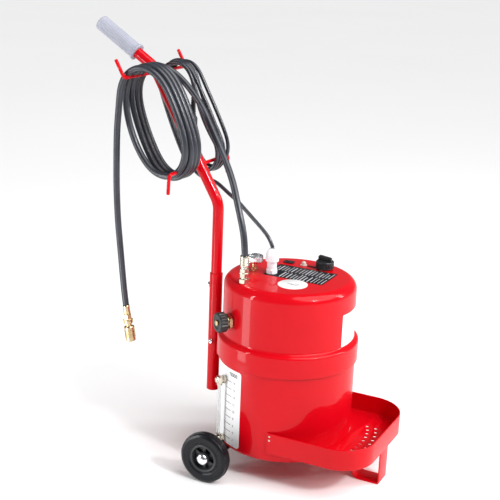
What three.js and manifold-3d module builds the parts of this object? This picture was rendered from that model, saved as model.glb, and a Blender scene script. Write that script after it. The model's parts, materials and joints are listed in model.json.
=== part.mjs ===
// Electric pressure brake bleeder on two wheels: a drum tank with a pump cover, a front tray,
// a cranked push handle with two hose hooks, a fluid hose with a quick coupler and a supply lead.
// Millimetres, +Z up. The tray points to -Y, the handle to +Y, and the wheels turn about X.
// The origin is on the ground, under the middle of the object.
import * as THREE from 'three';
import { mergeVertices } from 'three/addons/utils/BufferGeometryUtils.js';
import Module from 'manifold-3d';

const wasm = await Module();
wasm.setup();

// ---------------------------------------------------------------- driving dimensions
const GAP = 0.3;                 // clearance kept between touching pieces
const ORIGIN_Y = -132.6;         // shifts the model so that its box is centred on the origin
const TANK_R = 156;
const TANK_BOTTOM = 54;
const TANK_RIM = 290;
const SHEET = 2;                 // tank and cover sheet thickness
const COVER_R = 150;
const COVER_TOP = 445;
const BAND_R = 161;
const BAND_LOW = 259;
const BAND_HIGH = 308;
const RIM_ROUND = 22;            // rounding of the cover's top edge

const WHEEL_R = 58;
const WHEEL_Y = 95;
const WHEEL_OUT = 219;           // outer face of a wheel, from the middle plane
const WHEEL_WIDTH = 28;
const AXLE_R = 6;

const TRAY_LOW = 79.4;
const TRAY_HIGH = 127.4;
const TRAY_HALF = 156.5;
const TRAY_FRONT = 254;
const TRAY_CORNER = 80;
const TRAY_WALL = 2.5;
const TRAY_REAR = 30;

const TUBE_R = 12.7;
const TUBE_WALL = 1.8;
const SLEEVE_Y = 190;
const SLEEVE_R = 15.2;
const SLEEVE_LOW = 126;
const SLEEVE_HIGH = 417;

// The handle's inclined run holds both hook bars. ALONG and ACROSS are its axes in the Y-Z plane.
const BAR_MID_Y = 301;
const BAR_MID_Z = 768;
const BAR_SPREAD = 116.6;        // each bar's distance from the middle of the run
const BAR_R = 4;
const ALONG = { y: 0.515, z: 0.857 };

const HOSE_R = 7.5;
const CABLE_R = 4.5;

// ---------------------------------------------------------------- materials
function material(color, roughness, metalness = 0) {
  return new THREE.MeshStandardMaterial({ color, roughness, metalness });
}

const RED = 0xd0131f;
const BLACK = 0x26282b;
const BRASS = 0xb8924a;
const CHROME = 0xd4d6d8;

// ---------------------------------------------------------------- helpers
const model = new THREE.Group();
model.position.y = ORIGIN_Y;

function add(name, geometry, mat, parent = model) {
  const mesh = new THREE.Mesh(geometry, mat);
  mesh.name = name;
  parent.add(mesh);
  return mesh;
}

// A closed three.js geometry as a solid that can be joined and cut.
function solid(geometry) {
  const bare = geometry.clone();
  bare.deleteAttribute('normal');
  bare.deleteAttribute('uv');
  const merged = mergeVertices(bare, 1e-4);
  return new wasm.Manifold(new wasm.Mesh({
    numProp: 3,
    vertProperties: new Float32Array(merged.attributes.position.array),
    triVerts: new Uint32Array(merged.index.array),
  }));
}

function geometryOf(manifold) {
  const mesh = manifold.getMesh();
  const geometry = new THREE.BufferGeometry();
  geometry.setAttribute('position', new THREE.BufferAttribute(new Float32Array(mesh.vertProperties), 3));
  geometry.setIndex(new THREE.BufferAttribute(new Uint32Array(mesh.triVerts), 1));
  geometry.computeVertexNormals();
  return geometry;
}

function cut(geometry, ...tools) {
  return geometryOf(tools.reduce((body, tool) => body.subtract(solid(tool)), solid(geometry)));
}

function join(geometry, ...others) {
  return geometryOf(others.reduce((body, other) => body.add(solid(other)), solid(geometry)));
}

// A turned piece about Z. The profile lists [radius, height] pairs, anticlockwise in that plane.
function turned(profile, segments = 16) {
  const points = profile.map(([r, z]) => new THREE.Vector2(r, z));
  return new THREE.LatheGeometry(points, segments).rotateX(Math.PI / 2);
}

// A tube section turned about Z, from z0 to z1.
function ring(inner, outer, z0, z1, segments = 16) {
  return turned([[inner, z0], [outer, z0], [outer, z1], [inner, z1], [inner, z0]], segments);
}

function rod(radius, z0, z1, segments = 12) {
  return turned([[0, z0], [radius, z0], [radius, z1], [0, z1]], segments);
}

function box(x0, x1, y0, y1, z0, z1) {
  return new THREE.BoxGeometry(x1 - x0, y1 - y0, z1 - z0)
    .translate((x0 + x1) / 2, (y0 + y1) / 2, (z0 + z1) / 2);
}

function hexagon(acrossFlats, z0, z1) {
  return turned([[0, z0], [acrossFlats / Math.sqrt(3), z0], [acrossFlats / Math.sqrt(3), z1], [0, z1]], 6);
}

// A flat outline in X-Y, extruded from z0 to z1.
function plate(shape, z0, z1, curveSegments = 12) {
  return new THREE.ExtrudeGeometry(shape, { depth: z1 - z0, bevelEnabled: false, curveSegments })
    .translate(0, 0, z0);
}

function roundSection(radius, sides) {
  const points = [];
  for (let i = 0; i < sides; i += 1) {
    const turn = (i / sides) * 2 * Math.PI;
    points.push(new THREE.Vector2(radius * Math.cos(turn), radius * Math.sin(turn)));
  }
  return new THREE.Shape(points);
}

function alongPath(section, path, steps) {
  return new THREE.ExtrudeGeometry(section, { steps, extrudePath: path, bevelEnabled: false });
}

function smoothPath(points) {
  return new THREE.CatmullRomCurve3(points.map(([x, y, z]) => new THREE.Vector3(x, y, z)), false, 'centripetal');
}

// A line through corner points, each inner corner rounded over the given length.
function bentPath(corners, rounding) {
  const path = new THREE.CurvePath();
  const points = corners.map(([x, y, z]) => new THREE.Vector3(x, y, z));
  let start = points[0];
  for (let i = 1; i < points.length - 1; i += 1) {
    const before = points[i].clone().lerp(points[i - 1], rounding / points[i].distanceTo(points[i - 1]));
    const after = points[i].clone().lerp(points[i + 1], rounding / points[i].distanceTo(points[i + 1]));
    path.add(new THREE.LineCurve3(start, before));
    path.add(new THREE.QuadraticBezierCurve3(before, points[i], after));
    start = after;
  }
  path.add(new THREE.LineCurve3(start, points[points.length - 1]));
  return path;
}

// A point of the inclined run's plane: u along the run, v across it towards the front.
function onRun(u, v) {
  return [BAR_MID_Y + u * ALONG.y - v * ALONG.z, BAR_MID_Z + u * ALONG.z + v * ALONG.y];
}

// ---------------------------------------------------------------- tank and pump cover
const FITTING_TURN = THREE.MathUtils.degToRad(144.5);   // bearing of the regulator and the level gauge
const REGULATOR_Z = 356;
const OUTLET = [-106, 65];
const GLAND = [-9, 44];
const GAUGE = [-18, 84];
const FILLER = [86, -46];
const SWITCH = [86, 44];
const LAMP = [84, 6];

function tankShell() {
  const r = TANK_R;
  const z = TANK_BOTTOM;
  return turned([
    [0, z], [r - 12, z], [r - 4, z + 3.5], [r, z + 12], [r, TANK_RIM],
    [r - SHEET, TANK_RIM], [r - SHEET, z + 13], [r - 13, z + SHEET], [0, z + SHEET],
  ], 32);
}

function coverShell() {
  const r = COVER_R;
  const top = COVER_TOP;
  const shell = turned([
    [BAND_R - SHEET, BAND_LOW], [BAND_R, BAND_LOW], [BAND_R, BAND_HIGH - 5], [r + 4, BAND_HIGH],
    [r, BAND_HIGH + 4], [r, top - RIM_ROUND], [r - 3, top - 11], [r - 11, top - 3],
    [r - RIM_ROUND, top], [0, top], [0, top - SHEET], [r - RIM_ROUND - 2, top - SHEET],
    [r - 6, top - 12], [r - SHEET, top - RIM_ROUND - 4], [r - SHEET, BAND_HIGH + 3],
    [BAND_R - SHEET, BAND_HIGH - 7], [BAND_R - SHEET, BAND_LOW],
  ], 32);
  const hole = (at, radius) => rod(radius, top - 10, top + 10, 16).translate(at[0], at[1], 0);
  const side = rod(8.5, COVER_R - 20, COVER_R + 20, 16)
    .rotateY(Math.PI / 2).rotateZ(FITTING_TURN).translate(0, 0, REGULATOR_Z);
  const slot = box(-6, 6, -10, 10, top - 10, top + 10).translate(SWITCH[0], SWITCH[1], 0);
  return cut(shell, hole(OUTLET, 6.5), hole(GLAND, 8.5), hole(GAUGE, 5.5), hole(FILLER, 15.5), hole(LAMP, 4.5),
    slot, side);
}

function tankDeck() {
  const deck = rod(TANK_R - SHEET - GAP, TANK_RIM - 6, TANK_RIM - 3, 32);
  const neckHole = rod(15.5, 270, 300, 16).translate(FILLER[0], FILLER[1], 0);
  const suctionHole = rod(5.5, 270, 300, 12).translate(-40, -30, 0);
  return cut(deck, neckHole, suctionHole);
}

add('tank_shell', tankShell(), material(RED, 0.3));
add('tank_deck', tankDeck(), material(0x8d9094, 0.5, 0.6));
add('cover_shell', coverShell(), material(RED, 0.3));
add('cover_seal', ring(TANK_R + GAP, BAND_R - SHEET - GAP, 262, 272, 32), material(BLACK, 0.8));

// ---------------------------------------------------------------- pump inside the cover
const DECK_TOP = TANK_RIM - 3 + GAP;
add('pump_motor', rod(32, 345, 420, 18).translate(-10, -30, 0), material(0x3a3d42, 0.5, 0.4));
add('pump_head', box(-55, 35, -62, 2, DECK_TOP, 344.7), material(0x9a9da1, 0.4, 0.7));
add('suction_pipe', rod(5, 64, DECK_TOP - GAP, 12).translate(-40, -30, 0), material(CHROME, 0.4, 0.8));

// ---------------------------------------------------------------- tray and front foot
// The tray's outline, set in from its outer face, from the left rear end round the front.
function trayPath(inset, rear) {
  const half = TRAY_HALF - inset;
  const front = -(TRAY_FRONT - inset);
  const corner = TRAY_CORNER - inset;
  const path = new THREE.Path();
  path.moveTo(-half, rear);
  path.lineTo(-half, front + corner);
  path.absarc(-half + corner, front + corner, corner, Math.PI, 1.5 * Math.PI, false);
  path.lineTo(half - corner, front);
  path.absarc(half - corner, front + corner, corner, 1.5 * Math.PI, 2 * Math.PI, false);
  path.lineTo(half, rear);
  return path;
}

function trayWall() {
  const outer = trayPath(0, -TRAY_REAR).getPoints(10);
  const inner = trayPath(TRAY_WALL, -TRAY_REAR).getPoints(10).reverse();
  return plate(new THREE.Shape([...outer, ...inner]), TRAY_LOW, TRAY_HIGH);
}

const DRAIN_STEP = THREE.MathUtils.degToRad(5.6);
const DRAIN_ROWS = [
  { radius: 197, turns: [0.5, 1.5, 2.5, 3.5, 4.5] },
  { radius: 216, turns: [0, 1, 2, 3, 4] },
];

function trayFloor() {
  const floor = plate(new THREE.Shape(trayPath(TRAY_WALL + GAP, -TRAY_REAR).getPoints(10)), 79.9, 82.4);
  const tools = [rod(TANK_R + GAP, 60, 100, 32)];
  for (const { radius, turns } of DRAIN_ROWS) {
    for (const turn of turns) {
      for (const side of turn === 0 ? [1] : [-1, 1]) {
        const a = side * turn * DRAIN_STEP;
        tools.push(rod(4, 70, 90, 6).translate(radius * Math.sin(a), -radius * Math.cos(a), 0));
      }
    }
  }
  return cut(floor, ...tools);
}

const FOOT_FRONT = 252;
const FOOT_REAR = 185;
const FOOT_HALF = 24;

// A U of flat strip, seen from the side, with a large rear corner and a tight front one.
function frontFoot() {
  const t = 3;
  const high = TRAY_LOW - GAP;
  const u = new THREE.Shape();
  u.moveTo(FOOT_FRONT, high);
  u.lineTo(FOOT_FRONT, 4);
  u.quadraticCurveTo(FOOT_FRONT, 0, FOOT_FRONT - 4, 0);
  u.lineTo(FOOT_REAR + 18, 0);
  u.quadraticCurveTo(FOOT_REAR, 0, FOOT_REAR, 18);
  u.lineTo(FOOT_REAR, high);
  u.lineTo(FOOT_REAR + t, high);
  u.lineTo(FOOT_REAR + t, 18);
  u.quadraticCurveTo(FOOT_REAR + t, t, FOOT_REAR + 18, t);
  u.lineTo(FOOT_FRONT - t - 1, t);
  u.lineTo(FOOT_FRONT - t, t + 1);
  u.lineTo(FOOT_FRONT - t, high);
  u.closePath();
  // Drawn with x as the distance forward and y as the height, then stood up in the Y-Z plane.
  return plate(u, -FOOT_HALF, FOOT_HALF, 5).rotateX(Math.PI / 2).rotateZ(-Math.PI / 2);
}

add('tray_wall', trayWall(), material(RED, 0.3));
add('tray_floor', trayFloor(), material(RED, 0.3));
add('front_foot', frontFoot(), material(RED, 0.35));

// ---------------------------------------------------------------- wheels and axle
const WHEEL_IN = WHEEL_OUT - WHEEL_WIDTH;
const BEAM_END = 178.5;

// A flat strap under the tank, stepped down beyond it and turned up at both ends to hold the stub axles.
function axleBeam() {
  const high = TANK_BOTTOM - GAP;
  const low = high - 7.2;
  const t = 4;
  const half = [
    [BEAM_END - t, WHEEL_R + 20], [BEAM_END - t, low], [162, low], [152, high],
  ];
  const under = [[150, high - t], [160, low - t], [BEAM_END, low - t], [BEAM_END, WHEEL_R + 20]];
  const mirrored = (points) => points.map(([x, z]) => [-x, z]).reverse();
  const outline = [...half, ...mirrored(half), ...mirrored(under), ...under];
  const strap = plate(new THREE.Shape(outline.map(([x, z]) => new THREE.Vector2(x, z))), -20, 20)
    .rotateX(Math.PI / 2).translate(0, WHEEL_Y, 0);
  const bore = rod(AXLE_R + GAP, -200, 200, 16).rotateY(Math.PI / 2).translate(0, WHEEL_Y, WHEEL_R);
  return cut(strap, bore);
}

const TYRE_INNER = 33;

const STUB_PROFILE = [
  [0, 166], [9, 166], [9, BEAM_END - 4 - GAP], [AXLE_R, BEAM_END - 4 - GAP], [AXLE_R, BEAM_END + GAP],
  [9.5, BEAM_END + GAP], [9.5, WHEEL_IN - 0.5], [AXLE_R, WHEEL_IN - 0.5], [AXLE_R, WHEEL_OUT + 3], [0, WHEEL_OUT + 3],
];

const HUB_PROFILE = [
  [AXLE_R + 0.4, WHEEL_IN], [14, WHEEL_IN], [14, WHEEL_IN + 9], [27, WHEEL_IN + 9], [27, WHEEL_IN + 2],
  [TYRE_INNER - GAP, WHEEL_IN + 2], [TYRE_INNER - GAP, WHEEL_OUT - 3], [26, WHEEL_OUT - 2],
  [25, WHEEL_OUT - 9], [14, WHEEL_OUT - 9], [14, WHEEL_OUT - 1], [AXLE_R + 0.4, WHEEL_OUT - 1],
  [AXLE_R + 0.4, WHEEL_IN],
];

const TYRE_PROFILE = [
  [TYRE_INNER, WHEEL_IN + 3], [50, WHEEL_IN], [WHEEL_R - 2, WHEEL_IN + 4], [WHEEL_R, WHEEL_IN + 9],
  [WHEEL_R, WHEEL_OUT - 9], [WHEEL_R - 2, WHEEL_OUT - 4], [50, WHEEL_OUT], [TYRE_INNER, WHEEL_OUT - 3],
  [TYRE_INNER, WHEEL_IN + 3],
];

const CAP_PROFILE = [
  [AXLE_R + GAP, WHEEL_OUT - GAP], [13.5, WHEEL_OUT - GAP], [12.5, WHEEL_OUT + 4], [8, WHEEL_OUT + 8],
  [0, WHEEL_OUT + 9.5], [0, WHEEL_OUT + 3 + GAP], [AXLE_R + GAP, WHEEL_OUT + 3 + GAP],
  [AXLE_R + GAP, WHEEL_OUT - GAP],
];

add('axle_beam', axleBeam(), material(BLACK, 0.6, 0.3));
for (const [side, turn] of [['left', -Math.PI / 2], ['right', Math.PI / 2]]) {
  const wheel = new THREE.Group();
  wheel.position.set(0, WHEEL_Y, WHEEL_R);
  wheel.rotation.y = turn;
  model.add(wheel);
  add(`stub_axle_${side}`, turned(STUB_PROFILE, 10), material(CHROME, 0.4, 0.9), wheel);
  add(`wheel_hub_${side}`, turned(HUB_PROFILE, 16), material(BLACK, 0.45), wheel);
  add(`tyre_${side}`, turned(TYRE_PROFILE, 26), material(BLACK, 0.6), wheel);
  add(`axle_cap_${side}`, turned(CAP_PROFILE, 16), material(CHROME, 0.12, 1), wheel);
}

// ---------------------------------------------------------------- handle
const HANDLE_CORNERS = [[0, SLEEVE_Y, SLEEVE_LOW + 6], [0, SLEEVE_Y, 584], [0, 367, 879], [0, 508, 967]];
const HANDLE_TOP = new THREE.Vector3(...HANDLE_CORNERS[3]);
const GRIP_AXIS = HANDLE_TOP.clone().sub(new THREE.Vector3(...HANDLE_CORNERS[2])).normalize();
const GRIP_LENGTH = 118;
const GRIP_R = 17.8;
const BOLT_UPPER_Z = 386;
const BOLT_LOWER_Z = 252;

function barAxis(u) {
  const [y, z] = onRun(u, 0);
  return rod(BAR_R + GAP, -40, 40, 12).rotateY(Math.PI / 2).translate(0, y, z);
}

function handleTube() {
  const section = roundSection(TUBE_R, 8);
  section.holes.push(roundSection(TUBE_R - TUBE_WALL, 8));
  const tube = alongPath(section, bentPath(HANDLE_CORNERS, 60), 40);
  return cut(tube, barAxis(BAR_SPREAD), barAxis(-BAR_SPREAD));
}

function sleeve() {
  const tube = ring(TUBE_R + GAP, SLEEVE_R, SLEEVE_LOW, SLEEVE_HIGH, 16);
  const rearHole = rod(3.4, 0, 30, 12).rotateX(-Math.PI / 2).translate(0, 0, BOLT_UPPER_Z);
  const sideHole = rod(3.4, 0, 30, 12).rotateY(-Math.PI / 2).translate(0, 0, BOLT_LOWER_Z);
  return cut(tube, rearHole, sideHole).translate(0, SLEEVE_Y, 0);
}

// A button-head screw along +Z: its shank ends just off the handle tube.
const BOLT_PROFILE = [
  [0, TUBE_R + 0.6], [3, TUBE_R + 0.6], [3, SLEEVE_R + GAP], [6.2, SLEEVE_R + GAP], [6.2, SLEEVE_R + 3.5],
  [4, SLEEVE_R + 6.5], [0, SLEEVE_R + 6.5],
];

function clampBolt(name, z, turnX, turnY) {
  const bolt = add(name, turned(BOLT_PROFILE, 12), material(CHROME, 0.3, 1));
  bolt.rotation.set(turnX, turnY, 0);
  bolt.position.set(0, SLEEVE_Y, z);
}

function sleeveBracket(name, z0, z1) {
  add(name, box(-11, 11, TANK_R + 0.5, SLEEVE_Y - SLEEVE_R - GAP, z0, z1), material(RED, 0.35));
}

add('handle_sleeve', sleeve(), material(RED, 0.3));
sleeveBracket('sleeve_bracket_lower', 136, 166);
sleeveBracket('sleeve_bracket_upper', 218, 248);
clampBolt('clamp_bolt_upper', BOLT_UPPER_Z, -Math.PI / 2, 0);
clampBolt('clamp_bolt_lower', BOLT_LOWER_Z, 0, -Math.PI / 2);
add('handle_tube', handleTube(), material(RED, 0.3));

const grip = add('grip', turned([
  [TUBE_R + GAP, 0], [20.5, 0], [20.5, 5], [GRIP_R, 6], [GRIP_R, GRIP_LENGTH - 4], [GRIP_R - 4, GRIP_LENGTH],
  [0, GRIP_LENGTH], [0, GRIP_LENGTH - 4], [TUBE_R + GAP, GRIP_LENGTH - 4], [TUBE_R + GAP, 0],
], 16), material(0xc9cbd2, 0.6));
grip.quaternion.setFromUnitVectors(new THREE.Vector3(0, 0, 1), GRIP_AXIS);
grip.position.copy(HANDLE_TOP).addScaledVector(GRIP_AXIS, 4.6 - GRIP_LENGTH);

// Each hook bar runs through the handle tube, and both its ends are bent the same way.
const HOOK_TIP = 44;
function hookBar(name, u, half, tip) {
  const [y, z] = onRun(u, 0);
  const corners = [[-half, y + tip[0], z + tip[1]], [-half, y, z], [half, y, z], [half, y + tip[0], z + tip[1]]];
  add(name, alongPath(roundSection(BAR_R, 6), bentPath(corners, 9), 32), material(RED, 0.3));
}
hookBar('upper_hook_bar', BAR_SPREAD, 134, [HOOK_TIP * 0.5, HOOK_TIP * 0.866]);
hookBar('lower_hook_bar', -BAR_SPREAD, 138, [2, -HOOK_TIP]);

// ---------------------------------------------------------------- fittings on the cover's top
const T = COVER_TOP;

function onTop(name, geometry, at, mat) {
  const mesh = add(name, geometry, mat);
  mesh.position.set(at[0], at[1], T + GAP);
  return mesh;
}

onTop('outlet_nut', join(hexagon(21, 0, 9.5), rod(6, -14, 5, 16)), OUTLET, material(CHROME, 0.3, 0.9));
onTop('hose_barb', join(hexagon(18.5, 9.8, 33), rod(8, 30, 38, 20), rod(5, 36, 60, 12)), OUTLET,
  material(BRASS, 0.35, 0.9));
onTop('hose_ferrule', ring(5.4, 10.5, 38.3, 61.5, 14), OUTLET, material(CHROME, 0.3, 0.9));

onTop('gland_body', join(hexagon(24, 0, 10), rod(11, 9, 28, 16), rod(8, -14, 5, 12)), GLAND,
  material(0xdfe2e4, 0.5));
onTop('gland_nut', turned([
  [0, 28.3], [15, 28.3], [15, 42], [12, 52], [7, 58], [0, 58],
], 16), GLAND, material(0xe6e9ea, 0.5));

onTop('gauge_stem', join(rod(5, -14, 21.5, 16), hexagon(14, 0, 8)), GAUGE, material(BRASS, 0.35, 0.9));
onTop('gauge_case', turned([
  [0, 21.8], [17, 21.8], [20, 24], [20, 37], [17.5, 37], [17.5, 25.8], [0, 25.8],
], 18), GAUGE, material(CHROME, 0.15, 1));
onTop('gauge_dial', rod(17.2, 26.1, 27.1, 16), GAUGE, material(0xf2f2ef, 0.5));
const needle = onTop('gauge_needle', join(rod(2.4, 27.5, 29.8, 12), box(-0.9, 0.9, -5, 13, 28, 29)), GAUGE,
  material(BLACK, 0.4));
needle.rotation.z = THREE.MathUtils.degToRad(135);
onTop('gauge_lens', rod(17.2, 32, 34, 16), GAUGE, material(0xe8f0f2, 0.05));

onTop('filler_neck', ring(12, 15, TANK_RIM - 16 - T, 13, 16), FILLER, material(CHROME, 0.35, 0.8));
onTop('filler_seal', rod(14.8, 13.4, 15.6, 16), FILLER, material(BLACK, 0.8));
onTop('filler_cap', join(
  turned([[15.6, 2], [20, 2], [21, 4], [21, 17], [19, 19.5], [0, 19.5], [0, 16], [15.6, 16], [15.6, 2]], 20),
  box(-3.5, 3.5, -16, 16, 19, 32),
), FILLER, material(BLACK, 0.5));

onTop('switch_bezel', cut(
  join(box(-8, 8, -12, 12, 0, 2.6), box(-5.6, 5.6, -9.6, 9.6, -18, 1)),
  box(-4.6, 4.6, -8.6, 8.6, -12, 10),
), SWITCH, material(BLACK, 0.5));
// The rocker tips about a pin below the bezel, and rests with its rear end down.
const ROCKER_PIN_Z = -4.5;
const ROCKER_TILT = THREE.MathUtils.degToRad(8);
const rocker = onTop('switch_rocker', join(
  rod(3, -4, 4, 10).rotateY(Math.PI / 2),
  rod(7.6, -4, 4, 14).rotateY(Math.PI / 2).scale(1, 1, 0.6).translate(0, 0, 4.3),
), SWITCH, material(0x1b1c1e, 0.4));
rocker.position.z += ROCKER_PIN_Z;
rocker.rotation.x = ROCKER_TILT;
onTop('pilot_lamp', turned([
  [0, -14], [4, -14], [4, 0], [7.5, 0], [7.5, 2], [5.5, 3], [5, 7], [2.5, 9.5], [0, 10],
], 12), LAMP, material(0xe9e4da, 0.2));

// ---------------------------------------------------------------- regulator on the cover's side
const regulator = new THREE.Group();
regulator.position.set(COVER_R * Math.cos(FITTING_TURN), COVER_R * Math.sin(FITTING_TURN), REGULATOR_Z);
regulator.quaternion.setFromUnitVectors(
  new THREE.Vector3(0, 0, 1),
  new THREE.Vector3(Math.cos(FITTING_TURN), Math.sin(FITTING_TURN), 0),
);
model.add(regulator);

function regulatorKnob() {
  return turned([
    [4.6, 13.3], [20, 13.3], [23, 16], [23, 30], [20.5, 33], [8, 33], [8, 30.5], [4.6, 30.5], [4.6, 13.3],
  ], 18);
}

add('regulator_body', join(hexagon(33, 0.6, 9), rod(12, 8, 13, 16), rod(8, -22, 2, 12), rod(4.2, 12, 29.5, 12)),
  material(BRASS, 0.3, 0.9), regulator);
add('regulator_knob', regulatorKnob(), material(BLACK, 0.5), regulator);
add('knob_insert', turned([[0, 30.8], [6.5, 30.8], [6.5, 34], [4, 36], [0, 36]], 16), material(BRASS, 0.3, 0.9),
  regulator);

// ---------------------------------------------------------------- level gauge on the tank's side
const SIGHT_OUT = TANK_R + 15;
const SIGHT_LOW = 74;
const SIGHT_HIGH = 219;

function sightFitting(name, z, up) {
  const elbow = join(
    rod(7, TANK_R + 0.6, SIGHT_OUT + 2, 12).rotateY(Math.PI / 2),
    rod(10, TANK_R + 3, TANK_R + 8, 6).rotateY(Math.PI / 2),
    rod(7.5, -8, 8, 12).translate(SIGHT_OUT, 0, 0),
    rod(5.5, up > 0 ? 7 : -13, up > 0 ? 13 : -7, 12).translate(SIGHT_OUT, 0, 0),
  );
  const fitting = add(name, elbow, material(CHROME, 0.3, 0.9));
  fitting.rotation.z = FITTING_TURN;
  fitting.position.z = z;
}
sightFitting('sight_fitting_low', SIGHT_LOW, 1);
sightFitting('sight_fitting_high', SIGHT_HIGH, -1);
const sightTube = add('sight_tube', ring(2.6, 4.2, SIGHT_LOW + 13.3, SIGHT_HIGH - 13.3, 10),
  material(0xdfe8ea, 0.1));
sightTube.position.set(SIGHT_OUT * Math.cos(FITTING_TURN), SIGHT_OUT * Math.sin(FITTING_TURN), 0);

// ---------------------------------------------------------------- fluid hose and its coupler
const HOSE_RISER = [
  [-106, 65, 507.5], [-106, 66, 524], [-104, 70, 554], [-97, 84, 589], [-86, 101, 626], [-72, 118, 659],
  [-55, 146, 697], [-38, 175, 730], [-22, 204, 763], [-5, 235, 801], [6, 272, 835], [9, 303, 861],
  [2, 326, 878], [-12, 338, 888], [-30, 342, 890],
];
const HOSE_DROP = [
  [-120, 373, 880], [-120, 379, 850], [-120, 384, 796], [-120, 389, 709], [-120, 389, 621], [-120, 385, 542],
  [-120, 376, 460], [-120, 367, 376], [-120, 361.4, 340],
];
const HOSE_COIL_X = [-111.7, -38.3];

// A rounded oblong on the inclined run's plane: a superellipse with the given half sizes, its middle
// moved towards the front by shift. A higher power makes it squarer.
function oblong(halfU, halfV, shift, power) {
  const count = 32;
  const points = [];
  for (let i = 0; i < count; i += 1) {
    const turn = (i / count) * 2 * Math.PI;
    const c = Math.cos(turn);
    const s = Math.sin(turn);
    points.push(new THREE.Vector2(
      halfU * Math.sign(c) * Math.abs(c) ** (2 / power),
      shift + halfV * Math.sign(s) * Math.abs(s) ** (2 / power),
    ));
  }
  return points;
}

// Stands a shape drawn in (u, v) up on the inclined run, between two X positions.
function onRunPlane(shape, x0, x1) {
  const slab = new THREE.ExtrudeGeometry(shape, { depth: x1 - x0, bevelEnabled: false, curveSegments: 12 });
  const frame = new THREE.Matrix4().makeBasis(
    new THREE.Vector3(0, ALONG.y, ALONG.z),
    new THREE.Vector3(0, -ALONG.z, ALONG.y),
    new THREE.Vector3(1, 0, 0),
  );
  frame.setPosition(x0, BAR_MID_Y, BAR_MID_Z);
  return slab.applyMatrix4(frame);
}

function woundSolid(outer, inner, x0, x1) {
  const shape = new THREE.Shape(outer);
  shape.holes.push(new THREE.Path(inner));
  return onRunPlane(shape, x0, x1);
}

const RUBBER = 0x43464a;
add('hose_riser', alongPath(roundSection(HOSE_R, 8), smoothPath(HOSE_RISER), 18), material(RUBBER, 0.7));
// The wound hose hangs on both bars and bulges out in front of and behind the handle.
add('hose_coil', woundSolid(oblong(141, 82, 8.5, 2.4), oblong(125, 44, 18, 3.2), ...HOSE_COIL_X), material(RUBBER, 0.7));
add('hose_drop', alongPath(roundSection(HOSE_R, 8), smoothPath(HOSE_DROP), 16), material(RUBBER, 0.7));

const coupler = new THREE.Group();
coupler.position.set(-120, 361.4, 340);
coupler.rotation.x = THREE.MathUtils.degToRad(-10);
model.add(coupler);
add('coupler_body', join(
  rod(8, -22, -0.6, 14), hexagon(17, -34, -20), rod(7.5, -88, -32, 14), rod(11.5, -43, -34, 16),
), material(BRASS, 0.3, 0.9), coupler);
add('coupler_sleeve', ring(7.9, 12.5, -86, -51, 18), material(BRASS, 0.3, 0.9), coupler);

// ---------------------------------------------------------------- supply lead and its plug
const CABLE_RUN = [
  [-9, 44, T + 58 + 4 * GAP], [-9, 44.6, 511], [-9, 53, 526], [-5, 72, 541], [2, 99, 559], [8, 124, 576],
  [14, 146, 591], [24, 180, 606], [32, 208, 622], [37, 227, 633], [39.5, 246, 644],
];
const CABLE_COIL_X = [45, 105];
const PLUG_R = 11;

add('cable_run', alongPath(roundSection(CABLE_R, 8), smoothPath(CABLE_RUN), 16), material(RUBBER, 0.7));
add('cable_coil', woundSolid(oblong(137, 67, 6, 2.6), oblong(122, 46, 6, 2.6), ...CABLE_COIL_X), material(RUBBER, 0.7));

const plug = add('cable_plug', turned([
  [0, 0], [4, 0], [7, 14], [7, 46], [PLUG_R, 50], [PLUG_R, 74], [5.5, 88], [0, 88],
], 16), material(BLACK, 0.5));
plug.position.set(CABLE_COIL_X[1] + GAP + PLUG_R, 328, 800);
plug.rotation.x = Math.PI;

export default model;
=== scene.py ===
"""A mobile brake bleeder: a red tank on two wheels, with a hose and a supply lead wound on its handle."""
import json
import random
from math import asin, copysign, cos, degrees, pi, radians, sin, sqrt, tan

import bmesh
import bpy
from mathutils import Matrix, Vector

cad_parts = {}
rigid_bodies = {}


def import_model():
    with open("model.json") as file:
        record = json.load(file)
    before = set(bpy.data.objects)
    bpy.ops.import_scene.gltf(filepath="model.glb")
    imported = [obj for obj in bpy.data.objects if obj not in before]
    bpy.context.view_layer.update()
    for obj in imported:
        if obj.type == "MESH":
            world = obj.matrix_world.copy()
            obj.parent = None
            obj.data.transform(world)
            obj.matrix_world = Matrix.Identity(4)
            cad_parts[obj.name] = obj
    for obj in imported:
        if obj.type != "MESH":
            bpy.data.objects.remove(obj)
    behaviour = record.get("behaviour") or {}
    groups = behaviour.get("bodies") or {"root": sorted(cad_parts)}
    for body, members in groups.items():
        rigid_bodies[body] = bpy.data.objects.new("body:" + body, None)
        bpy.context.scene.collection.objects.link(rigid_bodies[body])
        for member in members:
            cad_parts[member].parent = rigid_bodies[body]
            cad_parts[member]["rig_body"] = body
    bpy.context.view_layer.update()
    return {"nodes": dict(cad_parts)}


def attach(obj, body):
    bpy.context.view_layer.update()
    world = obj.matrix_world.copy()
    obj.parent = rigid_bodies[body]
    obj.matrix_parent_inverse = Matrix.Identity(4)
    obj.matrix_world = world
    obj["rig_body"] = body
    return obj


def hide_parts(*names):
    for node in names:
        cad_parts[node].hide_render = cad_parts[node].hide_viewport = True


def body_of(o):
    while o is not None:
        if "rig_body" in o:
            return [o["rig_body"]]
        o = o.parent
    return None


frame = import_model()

# ---- units and places
# Shapes are drawn in millimetres on the tank's axis, as in the CAD, and then moved to the row frame.
ORIGIN_Y = -132.6
TO_ROW = Matrix.Scale(0.001, 4) @ Matrix.Translation((0, ORIGIN_Y, 0))
Z = Vector((0, 0, 1))

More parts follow.
